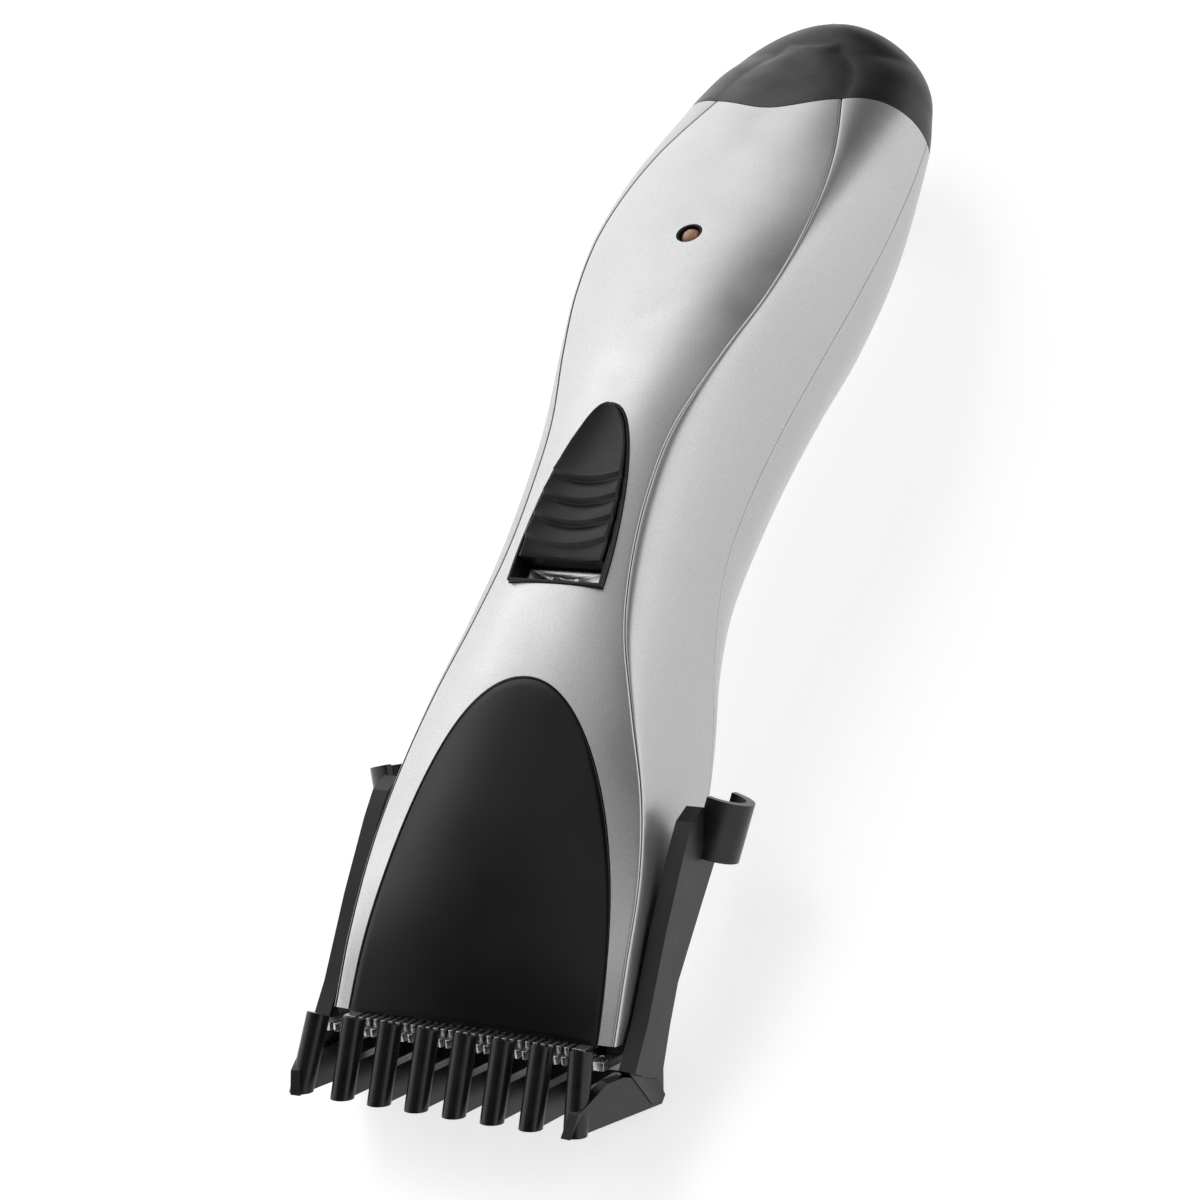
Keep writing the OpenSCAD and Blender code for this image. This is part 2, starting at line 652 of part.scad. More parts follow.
tab_r = 4.2;

module comb_tooth(i) {
    x = (i - (tooth_count - 1) / 2) * tooth_pitch;
    bar_l = norm(bar_top - skid_front);
    angle = atan2(bar_top.y - skid_front.y, bar_top.x - skid_front.x);
    splay = i == 0 ? -5 : i == tooth_count - 1 ? 5 : 0;
    translate([x, bar_top.x, bar_top.y]) rotate([0, 0, splay]) {
        translate([0, -bar_top.x, -bar_top.y]) slab(-tooth_w * 0.27, tooth_w * 0.27, fin);
        rotate([angle, 0, 0]) translate([0, 0, -tooth_w / 2]) rod(tooth_w / 2, -bar_l - 2, 0);
    }
}

// Slanting wall that joins an end tooth to the arm behind it.
module comb_corner() {
    translate([head_w - 0.9, skid_front.x, 0]) rotate([0, 0, -12.5])
        slab(-1.3, 0, [[-0.5, 14], [2.5, 15.3], [8.3, 13.4], [10.6, 11], [14.4, 4.2], [14, 1], [12.4, 0.4]]);
}

// Curved thumb tab that flares away from the housing, so that the arm can be sprung open.
module comb_tab() {
    translate([head_w + 1.2, 41, 10.5]) rotate([-52, 0, 0]) rotate([0, 14, 0]) difference() {
        cylinder(r = tab_r, h = 7.8);
        translate([0, 0, -1]) cylinder(r = tab_r - 1.2, h = 10);
        box([-6, -6, -1], [-0.3, 6, 9]);
    }
}

module guide_comb() {
    color([0.05, 0.05, 0.055]) difference() {
        seated() {
            for (i = [0 : tooth_count - 1]) comb_tooth(i);
            // rear bar that all the teeth stand on
            slab(0.6 - arm_out, arm_out - 0.6,
                [[8.6, 2.5], [11.6, 5.6], [14, 2.9], [12.4, 0.5], skid_back]);
            for (s = [0, 1]) mirror([s, 0, 0]) {
                comb_corner();
                slab(arm_in, arm_out, arm);
                slab(arm_in, arm_out + 0.8, flange);
                comb_tab();
            }
        }
        at_blade() box([-30, -30, skid_off], [30, 30, skid_off + 10]);
    }
}

module case_screw() {
    color([0.7, 0.7, 0.72]) translate([0, boss_y - mid_y, 0]) {
        translate([0, 0, 8.9]) cylinder(r = 0.88, h = 12);
        translate([0, 0, 7.7]) cylinder(r = 2, h = 1.3);
    }
}

front_cover();
nose_panel();
front_housing();
rear_housing();
tail_cap();
switch_bezel();
switch_label();
switch_knob();
switch_actuator();
slide_switch();
led_holder();
led();
circuit_board();
board_components();
battery_cells();
battery_tabs();
charge_socket();
charge_pin();
red_wires();
black_wires();
chassis();
motor_can();
motor_magnets();
motor_end_cap();
motor_terminals();
motor_shaft();
motor_armature();
motor_commutator();
motor_screws();
eccentric_cam();
fixed_blade();
moving_blade();
drive_carrier();
blade_holder();
blade_screws();
blade_spring();
guide_comb();
case_screw();
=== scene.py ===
"""Looks of a cordless hair clipper with a guide comb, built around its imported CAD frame."""
import json
import math

import bmesh
import bpy
from mathutils import Matrix, Vector

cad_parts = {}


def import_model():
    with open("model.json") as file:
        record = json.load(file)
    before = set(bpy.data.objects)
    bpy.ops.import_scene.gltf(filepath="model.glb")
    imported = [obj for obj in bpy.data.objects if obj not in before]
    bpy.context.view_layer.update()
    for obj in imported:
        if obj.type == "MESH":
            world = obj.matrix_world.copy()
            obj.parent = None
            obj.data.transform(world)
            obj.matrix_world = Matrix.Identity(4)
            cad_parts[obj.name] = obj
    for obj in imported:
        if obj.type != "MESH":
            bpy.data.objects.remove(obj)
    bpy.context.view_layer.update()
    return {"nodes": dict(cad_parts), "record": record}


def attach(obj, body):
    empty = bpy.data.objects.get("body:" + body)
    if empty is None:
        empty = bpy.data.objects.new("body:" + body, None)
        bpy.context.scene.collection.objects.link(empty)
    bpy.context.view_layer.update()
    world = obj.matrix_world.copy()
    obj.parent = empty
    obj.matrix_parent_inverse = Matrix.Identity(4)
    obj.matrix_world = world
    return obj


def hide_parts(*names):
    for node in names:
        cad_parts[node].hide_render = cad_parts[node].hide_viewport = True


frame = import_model()
NODES = frame["nodes"]
MM = 0.001
IN_METRES = Matrix.Scale(MM, 4)

# ---------------------------------------------------------------- camera
FOCAL_MM = 90.43
camera_data = bpy.data.cameras.new("camera")
camera_data.sensor_width = 36
camera_data.lens = FOCAL_MM
camera_data.clip_start = 0.01
camera = bpy.data.objects.new("camera", camera_data)
bpy.context.scene.collection.objects.link(camera)
RIGHT = Vector((0.88133, 0.32525, -0.34274))
UP = Vector((-0.05927, 0.79574, 0.60272))
FORWARD = Vector((-0.46877, 0.51089, -0.72059))
CAMERA_AT = Vector((0.18751, -0.22245, 0.31017))
camera.matrix_world = Matrix((
    (RIGHT.x, UP.x, -FORWARD.x, CAMERA_AT.x),
    (RIGHT.y, UP.y, -FORWARD.y, CAMERA_AT.y),
    (RIGHT.z, UP.z, -FORWARD.z, CAMERA_AT.z),
    (0, 0, 0, 1)))
bpy.context.scene.camera = camera

# ---------------------------------------------------------------- body form, in millimetres
NOSE_Y = 11.0
COMB_FRONT = -2.1
BODY_L, CAP_L = 169.4, 25.4
TAIL_Y = NOSE_Y + BODY_L
CAP_Y = TAIL_Y - CAP_L
NECK_Y = 60.0
MID_Y = (COMB_FRONT + TAIL_Y) / 2
SKID_ANGLE = math.radians(43.5)
LEAN_FROM = 50.0
WALL, COVER_T, DECK_T, GAP = 1.8, 1.6, 1.4, 0.1
DECK_DROP = COVER_T + GAP
CHARGE_Z, CHARGE_R = 18.8, 2.8
# How late the crown of the front turns down to the crease
CROWN_POWER = 2.4
# y, front height, crease x, crease z, half width, seam z, back z
STATIONS = (
    (11, 12.8, 20.2, 12.4, 20.9, 8.5, 2.6),
    (20, 17.0, 20.1, 16.3, 20.8, 8.0, 2.4),
    (30, 21.7, 19.6, 19.8, 20.3, 6.5, 2.2),
    (40, 26.3, 17.8, 23.4, 18.9, 5.5, 2.0),
    (50, 30.3, 14.6, 27.6, 17.3, 6.0, 1.7),
    (60, 32.8, 11.2, 30.9, 15.8, 8.5, 1.5),
    (70, 34.3, 9.3, 32.8, 14.4, 13.5, 1.4),
    (80, 35.8, 8.7, 34.4, 13.6, 17.0, 1.4),
    (90, 36.9, 9.2, 35.4, 13.8, 18.2, 1.2),
    (102, 37.3, 12.0, 35.6, 14.9, 18.6, 1.3),
    (114, 37.0, 14.8, 34.7, 16.9, 19.0, 1.1),
    (126, 36.0, 15.8, 33.6, 19.0, 19.2, 0.0),
    (140, 33.6, 14.3, 31.4, 20.0, 18.2, 1.1),
    (155, 29.7, 10.0, 28.3, 19.4, 16.8, 7.0),
    (165, 27.6, 6.4, 26.2, 17.9, 17.0, 10.2),
    (182, 25.2, 2.0, 24.8, 15.2, 17.6, 12.6))


def row_at(y):
    """Sizes of the section at y, on a smooth curve through the stations."""
    last = len(STATIONS) - 1
    i = 0
    while i < last - 1 and y >= STATIONS[i + 1][0]:
        i += 1

    def slope(k):
        a, b = STATIONS[max(k - 1, 0)], STATIONS[min(k + 1, last)]
        return [(q - p) / (b[0] - a[0]) for p, q in zip(a, b)]

    a, b = STATIONS[i], STATIONS[i + 1]
    h = b[0] - a[0]
    t = (y - a[0]) / h
    weights = (1 - 3 * t ** 2 + 2 * t ** 3, (t - 2 * t ** 2 + t ** 3) * h,
               3 * t ** 2 - 2 * t ** 3, (t ** 3 - t ** 2) * h)
    return [sum(w * v for w, v in zip(weights, values))
            for values in zip(a, slope(i), b, slope(i + 1))]


def lean(y):
    """How far a section plane leans at the head, so that the nose ends in the blade plane."""
    if y >= LEAN_FROM:
        return 0.0
    return math.tan(SKID_ANGLE) * ((LEAN_FROM - y) / (LEAN_FROM - NOSE_Y)) ** 1.5


def bow(y, x):
    """Bow of the sections towards the tail, which makes the cap's joint a shallow arc."""
    t = (y - NECK_Y) / (CAP_Y - NECK_Y)
    amount = 0 if t < 0 else t ** 3 if t < 1 else (TAIL_Y - y) / CAP_L
    return 7 * amount * x * x / (x * x + 140)


def place(y, x, z, front):
    """A section point moved to its place in the frame, in metres."""
    return (x * MM, (y - MID_Y + lean(y) * (front - z) + bow(y, x)) * MM, z * MM)


def crown(r, x):
    """Height of the front between the creases."""
    return r[1] - (r[1] - r[3]) * (abs(x) / r[2]) ** CROWN_POWER


def roll(a, d, n):
    """The side's curve, from the crease at a down to the seam at d."""
    b = (a[0] + 0.55 * (d[0] - a[0]), a[1] - 0.06 * (d[0] - a[0]))
    c = (d[0], d[1] + 0.55 * (a[1] - d[1]))
    out = []
    for i in range(n + 1):
        t = i / n
        w = ((1 - t) ** 3, 3 * (1 - t) ** 2 * t, 3 * (1 - t) * t * t, t ** 3)
        out.append(tuple(w[0] * a[k] + w[1] * b[k] + w[2] * c[k] + w[3] * d[k] for k in (0, 1)))
    return out


def rounded(path, corners):
    """Cuts the named corners of an open path and rounds them; corners maps index to radius."""
    out = []
    for i, p in enumerate(path):
        if i not in corners:
            out.append(p)
            continue
        v = Vector(p)
        into = Vector(path[i - 1]) - v
        onto = Vector(path[i + 1]) - v
        reach = min(corners[i], into.length * 0.45, onto.length * 0.45)
        a, b = v + into.normalized() * reach, v + onto.normalized() * reach
        for k in range(5):
            t = k / 4
            q = a * (1 - t) ** 2 + v * 2 * t * (1 - t) + b * t * t
            out.append((q.x, q.y))
    return out


def mirrored(half):
    """A half path from x = 0 outwards, as a whole one from -x to +x."""
    return [(-x, z) for x, z in half[:0:-1]] + half


def fractions(n):
    return [i / n for i in range(n + 1)]


# ---------------------------------------------------------------- mesh helpers
def new_object(name, bm, smooth_angle=32):
    bmesh.ops.recalc_face_normals(bm, faces=bm.faces)
    mesh = bpy.data.meshes.new(name)
    bm.to_mesh(mesh)
    bm.free()
    obj = bpy.data.objects.new(name, mesh)
    bpy.context.scene.collection.objects.link(obj)
    shade(obj, smooth_angle)
    return obj


def shade(obj, angle):
    mesh = obj.data
    mesh.polygons.foreach_set("use_smooth", [True] * len(mesh.polygons))
    mesh.set_sharp_from_angle(angle=math.radians(angle))


def loft(name, rings, smooth_angle=32):
    """A closed solid through rings of equal point count, its ends closed by strips."""
    bm = bmesh.new()
    n = len(rings[0])
    grid = [[bm.verts.new(p) for p in ring] for ring in rings]
    for lower, upper in zip(grid, grid[1:]):
        for i in range(n):
            j = (i + 1) % n
            bm.faces.new((lower[i], upper[i], upper[j], lower[j]))
    for ring in (grid[0], grid[-1]):
        for i in range(n // 2 - 1):
            bm.faces.new((ring[i], ring[i + 1], ring[n - 2 - i], ring[n - 1 - i]))
    return new_object(name, bm, smooth_angle)


def prism(name, outline, low, high, to_frame=None):
    """An outline in x and y, extruded in z."""
    bm = bmesh.new()
    bottom = [bm.verts.new((x, y, low)) for x, y in outline]
    top = [bm.verts.new((x, y, high)) for x, y in outline]
    bm.faces.new(bottom[::-1])
    bm.faces.new(top)
    n = len(outline)
    for i in range(n):
        j = (i + 1) % n
        bm.faces.new((bottom[i], bottom[j], top[j], top[i]))
    if to_frame is not None:
        bm.transform(to_frame)
    return new_object(name, bm)


def apply_modifiers(obj):
    graph = bpy.context.evaluated_depsgraph_get()
    mesh = bpy.data.meshes.new_from_object(obj.evaluated_get(graph))
    old = obj.data
    obj.modifiers.clear()
    obj.data = mesh
    bpy.data.meshes.remove(old)


def cut(obj, tool, operation="DIFFERENCE", keep_tool=False):
    modifier = obj.modifiers.new("cut", "BOOLEAN")
    modifier.object = tool
    modifier.operation = operation
    modifier.solver = "EXACT"
    bpy.context.view_layer.update()
    apply_modifiers(obj)
    if not keep_tool:
        bpy.data.objects.remove(tool)


def weighted(obj, angle=32):
    shade(obj, angle)
    modifier = obj.modifiers.new("normals", "WEIGHTED_NORMAL")
    modifier.keep_sharp = True
    modifier.weight = 50
    apply_modifiers(obj)


def bevelled_copy(node, name, width, angle=30, segments=2):
    """The CAD node's mesh with its edges rounded, as a new piece that stands for the node."""
    source = NODES[node]
    bm = bmesh.new()
    bm.from_mesh(source.data)
    bmesh.ops.remove_doubles(bm, verts=bm.verts, dist=1e-7)
    bmesh.ops.dissolve_limit(bm, angle_limit=math.radians(0.5), verts=bm.verts, edges=bm.edges)
    obj = new_object(name, bm)
    modifier = obj.modifiers.new("bevel", "BEVEL")
    modifier.width = width * MM
    modifier.segments = segments
    modifier.limit_method = "ANGLE"
    modifier.angle_limit = math.radians(angle)
    modifier.use_clamp_overlap = True
    modifier.harden_normals = False
    bpy.context.view_layer.update()
    apply_modifiers(obj)
    weighted(obj, 40)
    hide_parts(node)
    return obj


# ---------------------------------------------------------------- materials
class Shader:
    """A procedural material on object coordinates, built from a few kinds of layer."""

    def __init__(self, name, color, roughness, metallic=0.0, **sockets):
        self.material = bpy.data.materials.new(name)
        self.material.use_nodes = True
        self.tree = self.material.node_tree
        self.bsdf = self.tree.nodes["Principled BSDF"]
        self.color = color
        self.set("Base Color", (*color, 1))
        self.set("Roughness", roughness)
        self.set("Metallic", metallic)
        for key, value in sockets.items():
            self.set(key.replace("_", " "), value)
        self.height = None

    def set(self, socket, value):
        self.bsdf.inputs[socket].default_value = value

    def node(self, kind, **inputs):
        made = self.tree.nodes.new(kind)
        for key, value in inputs.items():
            made.inputs[key.replace("_", " ")].default_value = value
        return made

    def link(self, a, b):
        self.tree.links.new(a, b)

    def coordinates(self, stretch=(1, 1, 1), turn=(0, 0, 0)):
        source = self.tree.nodes.new("ShaderNodeTexCoord")
        mapping = self.tree.nodes.new("ShaderNodeMapping")
        mapping.inputs["Scale"].default_value = stretch
        mapping.inputs["Rotation"].default_value = turn
        self.link(source.outputs["Object"], mapping.inputs["Vector"])
        return mapping.outputs["Vector"]

    def noise(self, scale, detail=3.0, stretch=(1, 1, 1)):
        made = self.node("ShaderNodeTexNoise", Scale=scale, Detail=detail)
        self.link(self.coordinates(stretch), made.inputs["Vector"])
        return made.outputs["Fac"]

    def waves(self, scale, direction="Y", distortion=0.0):
        made = self.node("ShaderNodeTexWave", Scale=scale, Distortion=distortion)
        made.bands_direction = direction
        self.link(self.coordinates(), made.inputs["Vector"])
        return made.outputs["Fac"]

    def span(self, value, low, high, from_low=0.3, from_high=0.7):
        made = self.node("ShaderNodeMapRange")
        for key, v in (("From Min", from_low), ("From Max", from_high),
                       ("To Min", low), ("To Max", high)):
            made.inputs[key].default_value = v
        self.link(value, made.inputs["Value"])
        return made.outputs["Result"]

    def vary_color(self, value, other, low=0.3, high=0.7):
        mix = self.tree.nodes.new("ShaderNodeMix")
        mix.data_type = "RGBA"
        mix.inputs["A"].default_value = (*self.color, 1)
        mix.inputs["B"].default_value = (*other, 1)
        self.link(self.span(value, 0, 1, low, high), mix.inputs["Factor"])
        self.link(mix.outputs["Result"], self.bsdf.inputs["Base Color"])
        return self

    def vary_roughness(self, value, low, high):
        self.link(self.span(value, low, high), self.bsdf.inputs["Roughness"])
        return self

    def bump(self, value, distance, strength=1.0):
        made = self.node("ShaderNodeBump", Strength=strength, Distance=distance)
        self.link(value, made.inputs["Height"])
        if self.height is not None:
            self.link(self.height, made.inputs["Normal"])
        self.height = made.outputs["Normal"]
        self.link(self.height, self.bsdf.inputs["Normal"])
        return self


def silver(name, color, darker):
    s = Shader(name, color, 0.34, 0.85, Coat_Weight=0.25, Coat_Roughness=0.2)
    s.vary_color(s.noise(5200, 2), darker, 0.35, 0.7)
    s.vary_roughness(s.noise(160, 4), 0.30, 0.38)
    s.bump(s.noise(6500, 1), 0.000004, 0.5)
    return s.bump(s.noise(900, 2), 0.000004, 0.2)


def plastic(name, color, lighter, low, high, grain=3000, depth=0.00001, **sockets):
    s = Shader(name, color, (low + high) / 2, 0.0, **sockets)
    s.vary_color(s.noise(grain * 0.2, 4), lighter)
    s.vary_roughness(s.noise(grain * 0.08, 4), low, high)
    return s.bump(s.noise(grain, 2), depth, 0.4)


def metal(name, color, darker, low, high, stretch=(1, 1, 1), grain=2500):
    s = Shader(name, color, (low + high) / 2, 1.0)
    s.vary_color(s.noise(grain * 0.3, 3, stretch), darker)
    s.vary_roughness(s.noise(grain * 0.5, 3, stretch), low, high)
    return s.bump(s.noise(grain, 2, stretch), 0.000004, 0.5)


MATERIALS = {
    "silver_front": silver("silver_front", (0.62, 0.62, 0.625), (0.52, 0.52, 0.525)),
    # silver_shell is the same silver paint as silver_front with a darker base colour: painted shade on
    # the housing's sides and belly.
    "silver_shell": silver("silver_shell", (0.53, 0.53, 0.535), (0.44, 0.44, 0.445)),
    "black_gloss": plastic("black_gloss", (0.004, 0.004, 0.0045), (0.007, 0.007, 0.0075),
                           0.12, 0.20, 700, 0.000004, Specular_IOR_Level=0.35),
    "black_satin": plastic("black_satin", (0.006, 0.006, 0.0065), (0.011, 0.011, 0.0115),
                           0.30, 0.42, 3200, 0.000012, Specular_IOR_Level=0.28),
    "comb_black": plastic("comb_black", (0.005, 0.005, 0.0055), (0.009, 0.009, 0.0095),
                          0.24, 0.36, 2400, 0.000010, Specular_IOR_Level=0.35),
    "label_silver": metal("label_silver", (0.72, 0.72, 0.73), (0.6, 0.6, 0.61),
                          0.28, 0.42, (12, 1, 1), 1800),
    "amber_lens": plastic("amber_lens", (0.62, 0.20, 0.12), (0.74, 0.28, 0.17), 0.16, 0.26,
                          1500, 0.000006, Subsurface_Weight=0.4, Coat_Weight=0.3),
    "white_nylon": plastic("white_nylon", (0.78, 0.78, 0.74), (0.70, 0.70, 0.66), 0.4, 0.55,
                           2000, 0.00002),
    "nickel": metal("nickel", (0.70, 0.69, 0.67), (0.58, 0.57, 0.55), 0.2, 0.32),
    "brass_pin": metal("brass_pin", (0.80, 0.58, 0.28), (0.62, 0.42, 0.2), 0.22, 0.36),
    "board_green": plastic("board_green", (0.03, 0.16, 0.07), (0.05, 0.26, 0.11), 0.25, 0.4,
                           1400, 0.00003),
    "component_black": plastic("component_black", (0.03, 0.03, 0.032), (0.06, 0.06, 0.06),
                               0.4, 0.6, 2600, 0.00002),
    "cell_wrap": plastic("cell_wrap", (0.05, 0.16, 0.4), (0.08, 0.24, 0.5), 0.22, 0.34,
                         900, 0.00001, Coat_Weight=0.3),
    "wire_red": plastic("wire_red", (0.5, 0.02, 0.02), (0.6, 0.05, 0.04), 0.4, 0.55),
    "wire_black": plastic("wire_black", (0.02, 0.02, 0.02), (0.04, 0.04, 0.04), 0.4, 0.55),
    "motor_steel": metal("motor_steel", (0.56, 0.57, 0.58), (0.44, 0.45, 0.46), 0.28, 0.44,
                         (1, 8, 1)),
    "ferrite": plastic("ferrite", (0.06, 0.06, 0.065), (0.1, 0.1, 0.1), 0.55, 0.75, 2600,
                       0.00003),
    "copper_winding": metal("copper_winding", (0.72, 0.34, 0.16), (0.5, 0.2, 0.08), 0.3, 0.45,
                            (14, 1, 14), 1400),
    "blade_steel": metal("blade_steel", (0.74, 0.74, 0.75), (0.6, 0.6, 0.61), 0.18, 0.3,
                         (10, 1, 1), 2200),
    "cutter_steel": metal("cutter_steel", (0.62, 0.62, 0.63), (0.48, 0.48, 0.49), 0.22, 0.34,
                          (10, 1, 1), 2200),
}
MATERIALS["copper_winding"].bump(MATERIALS["copper_winding"].waves(900, "Y", 0.4), 0.0001, 0.8)

SLOT_OF = {part["node"]: part["material_slot"] for part in frame["record"]["subparts"]}


def paint(obj, slot):
    obj.data.materials.clear()
    obj.data.materials.append(MATERIALS[slot].material)


def finish_piece(obj, body, slot, *replaced):
    paint(obj, slot)
    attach(obj, body)
    if replaced:
        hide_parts(*replaced)
    return obj


for node_name, node_object in NODES.items():
    node_material = MATERIALS[SLOT_OF[node_name]].material
    node_object.data.materials.clear()
    node_object.data.materials.append(node_material)

# ---------------------------------------------------------------- cutting tools
SWITCH_Y, SWITCH_Z, SWITCH_TILT = 79.0, 35.5, math.radians(7.5)
KNOB_W, KNOB_L, KNOB_LOW, KNOB_TRAVEL = 12.2, 23.6, -10.7, 3.0
LED_Y = 124.0
LAMP_HOLE_R, LENS_R = 1.9, 1.5
BOSS_Y, SCREW_WELL_R = 101.3, 2.1
PANEL_W, PANEL_L = 36.0, 41.0
AT_SWITCH = (IN_METRES @ Matrix.Translation((0, SWITCH_Y - MID_Y, SWITCH_Z))
             @ Matrix.Rotation(SWITCH_TILT, 4, "X"))


def half_ellipse(width, length, low, n=64):
    return [(width / 2 * math.cos(math.pi * i / n), low + length * math.sin(math.pi * i / n))
            for i in range(n + 1)]


def bezel_outline(grow, n=64):
    return half_ellipse(KNOB_W + 0.8 + 2 * grow, KNOB_L + KNOB_TRAVEL + 0.3 + 2 * grow,
                        KNOB_LOW - KNOB_TRAVEL - 0.1 - grow, n)


def circle(r, n=48, cx=0.0, cy=0.0):
    return [(cx + r * math.cos(2 * math.pi * i / n), cy + r * math.sin(2 * math.pi * i / n))
            for i in range(n)]


def window_tool():
    return prism("window_tool", bezel_outline(0.5), -8, 4, AT_SWITCH)


def lamp_tool():
    return prism("lamp_tool", circle(LAMP_HOLE_R, cy=LED_Y - MID_Y), 20, 50, IN_METRES)


def arch_outline(grow, n=72):
    w = PANEL_W / 2 + grow
    arch = half_ellipse(2 * w, PANEL_L + grow, NOSE_Y - MID_Y, n)
    return arch + [(-w, NOSE_Y - MID_Y - 3), (w, NOSE_Y - MID_Y - 3)]


# ---------------------------------------------------------------- shells
SECTION_STEP = 1.2


def stations_between(low, high):
    n = math.ceil((high - low) / SECTION_STEP)
    return [low + (high - low) * i / n for i in range(n + 1)]


def shell(name, outline):
    """A lofted shell, from the nose to the tail cap's joint, with a closed outline per section."""
    rings = []
    for y in stations_between(NOSE_Y, CAP_Y - GAP):
        r = row_at(y)
        rings.append([place(y, x, z, r[1]) for x, z in outline(r)])
    return loft(name, rings)


def even(outer, inner):
    """Outer and inner paths as one ring, with the inner path resampled to the same count."""
    count = len(outer)
    picked = []
    for i in range(count):
        t = i / (count - 1) * (len(inner) - 1)
        k = min(int(t), len(inner) - 2)
        f = t - k
        picked.append(tuple(inner[k][c] * (1 - f) + inner[k + 1][c] * f for c in (0, 1)))
    return outer + picked[::-1]


def cover_outline(r):
    half = [(x, crown(r, x)) for x in ((r[2] - GAP) * f for f in fractions(22))]
    edge = half[-1]
    half = rounded(half + [(edge[0], edge[1] - COVER_T * 0.7)], {len(half) - 1: 0.3})
    inner = [(x, crown(r, x) - COVER_T) for x in ((r[2] - GAP) * f for f in fractions(22))]
    return even(mirrored(half), mirrored(inner))


def housing_outline(r):
    deck = [(r[2] * f, crown(r, r[2] * f) - DECK_DROP) for f in fractions(10)]
    side = roll((r[2], r[3]), (r[4], r[5] + GAP / 2), 22)
    half = rounded(deck + side + [(r[4] - 0.5, r[5] + GAP / 2)],
                   {len(deck): 0.25, len(deck) + 22: 0.15})
    start = min(r[2] - 0.4, r[4] - WALL - 0.5)
    reach = r[2] - min(2, r[2] / 5)
    inner = [(reach * f, crown(r, reach * f) - DECK_DROP - DECK_T) for f in fractions(10)]
    inner += roll((start, r[3] - DECK_DROP - DECK_T), (r[4] - WALL, r[5] + GAP / 2), 22)
    return even(mirrored(half), mirrored(inner))


def belly_outline(r):
    def side(inset):
        out = []
        for f in fractions(30):
            a = math.pi / 2 * f
            out.append(((r[4] - inset) * math.sin(a) ** 0.9,
                        r[5] - GAP / 2 - (r[5] - r[6] - inset) * max(math.cos(a), 0) ** 0.9))
        return out
    outer = side(0)
    outer = rounded(outer + [(outer[-1][0] - 0.5, outer[-1][1])], {30: 0.15})
    return even(mirrored(outer), mirrored(side(WALL)))


cover = shell("front_cover_skin", cover_outline)
cut(cover, prism("arch_tool", arch_outline(GAP), -1, 40, IN_METRES))
cut(cover, window_tool())
cut(cover, lamp_tool())
weighted(cover)
finish_piece(cover, "housing", "silver_front", "front_cover")

upper = shell("front_housing_skin", housing_outline)
cut(upper, window_tool())
cut(upper, lamp_tool())
weighted(upper)
finish_piece(upper, "housing", "silver_shell", "front_housing")

lower = shell("rear_housing_skin", belly_outline)
cut(lower, prism("boss_tool", circle(SCREW_WELL_R, cy=BOSS_Y - MID_Y), -2, 7.6, IN_METRES))
weighted(lower)
finish_piece(lower, "housing", "silver_shell", "rear_housing")


def surface_z(x, y_world):
    """Height of the front form over a point, which undoes the lean of the nose's sections."""
    y = y_world + MID_Y
    for _ in range(30):
        r = row_at(max(y, NOSE_Y))
        z = crown(r, min(abs(x), r[2]))
        y = y_world + MID_Y - lean(max(y, NOSE_Y)) * (r[1] - z)
    return z


PANEL_T, PANEL_SINK, PANEL_RIM = 1.3, 0.12, 0.34


def nose_panel():
    """Glossy arch, on rings that shrink towards its middle, with a rounded rim."""
    outline = half_ellipse(PANEL_W, PANEL_L, NOSE_Y - MID_Y, 96)
    foot = [(PANEL_W / 2 * (-1 + 2 * i / 40), NOSE_Y - MID_Y) for i in range(1, 40)]
    outline = outline + foot
    centre = Vector((0, NOSE_Y - MID_Y + PANEL_L * 0.38))
    top = -PANEL_SINK
    rims = [(0.0, -PANEL_T), (0.0, top - 0.42), (0.05, top - 0.2), (0.16, top - 0.06), (PANEL_RIM, top)]
    bm = bmesh.new()
    grid = []
    for inset, drop in rims:
        ring = []
        for x, y in outline:
            d = centre - Vector((x, y))
            p = Vector((x, y)) + d.normalized() * inset
            ring.append(bm.verts.new((p.x * MM, p.y * MM, (surface_z(p.x, p.y) + drop) * MM)))
        grid.append(ring)
    for share in [1 - i / 26 for i in range(1, 26)]:
        ring = []
        for x, y in outline:
            d = centre - Vector((x, y))
            edge = Vector((x, y)) + d.normalized() * PANEL_RIM
            p = centre + (edge - centre) * share
            ring.append(bm.verts.new((p.x * MM, p.y * MM, (surface_z(p.x, p.y) + top) * MM)))
        grid.append(ring)
    n = len(outline)
    for low, high in zip(grid, grid[1:]):
        for i in range(n):
            j = (i + 1) % n
            bm.faces.new((low[i], low[j], high[j], high[i]))
    hub = bm.verts.new((centre.x * MM, centre.y * MM, (surface_z(*centre) + top) * MM))
    base = bm.verts.new((centre.x * MM, centre.y * MM, (surface_z(*centre) - PANEL_T) * MM))
    for i in range(n):
        j = (i + 1) % n
        bm.faces.new((grid[-1][i], grid[-1][j], hub))
        bm.faces.new((grid[0][j], grid[0][i], base))
    return new_object("nose_panel_skin", bm, 50)


finish_piece(nose_panel(), "housing", "black_gloss", "nose_panel")


# ---------------------------------------------------------------- tail cap
CREASE_STEP = 1.4
LOBE_POWER = 0.6
# How squarely the cap closes at its end, across and in height
CLOSE_WIDE, CLOSE_HIGH = 2.2, 6
# Crown beyond the lobe, per millimetre of its half width, which meets the sides without a crease
SOFT_CROWN = 0.045


def lobe(y):
    """Half width of the cap's lobe, as a share, which ends in a half ellipse."""
    t = (y - CAP_Y) / (CAP_L - 8)
    return math.sqrt(1 - t * t) if t < 1 else 0.0


def closing(y, inset, power):
    """Share of a section that is left as the cap closes in a blunt dome."""
    t = (y - TAIL_Y + 17) / (18.3 - inset)
    return 1.0 if t < 0 else math.sqrt(1 - min(t, 1) ** power)


